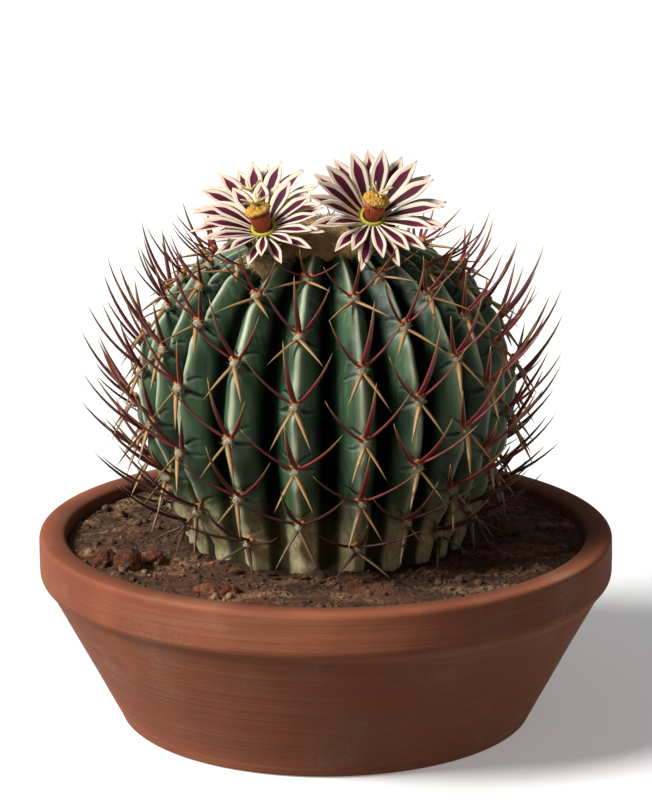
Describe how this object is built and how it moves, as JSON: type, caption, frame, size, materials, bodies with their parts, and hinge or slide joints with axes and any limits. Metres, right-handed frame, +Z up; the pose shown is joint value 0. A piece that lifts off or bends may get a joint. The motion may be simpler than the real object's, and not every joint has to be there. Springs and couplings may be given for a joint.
{
  "type": "potted cactus",
  "caption": "A ribbed globular cactus with flat upcurved spines and open striped blooms on its woolly crown, growing in soil in a plain clay pan.",
  "frame": {"origin": "on the standing surface, under the middle of the pan", "axes": "+Z up along the stem, -Y towards the viewer of the picture, +X to the viewer's right"},
  "size_m": [0.17, 0.17, 0.1698],
  "materials": {
    "clay": "unglazed fired clay, matt and slightly chalky",
    "earth": "dark, crumbly potting earth",
    "clod": "rough, rusty-brown clod",
    "cactus_skin": "waxy deep green skin, paler on the rib edges and corky at the base",
    "spine": "dry horny spine, dark red at its foot and amber at its tip",
    "wool": "dense matted plant wool",
    "tepal": "silky petal, cream with a purple stripe",
    "filament": "fine satin threads",
    "anther": "powdery pollen",
    "stigma": "soft satin"
  },
  "bodies": {
    "root": {"pot": "clay", "soil": "earth", "stone_left_outer": "clod", "stone_left_middle": "clod", "stone_left_inner": "clod", "clod_front": "clod", "cactus_stem": "cactus_skin", "crown_wool": "wool", "bloom_right_tepals": "tepal", "bloom_right_filaments": "filament", "bloom_right_anthers": "anther", "bloom_right_stigma": "stigma", "bloom_left_front_tepals": "tepal", "bloom_left_front_filaments": "filament", "bloom_left_front_anthers": "anther", "bloom_left_front_stigma": "stigma", "bloom_left_rear_tepals": "tepal", "bloom_left_rear_filaments": "filament", "bloom_left_rear_anthers": "anther", "bloom_left_rear_stigma": "stigma"}
  },
  "joints": []
}
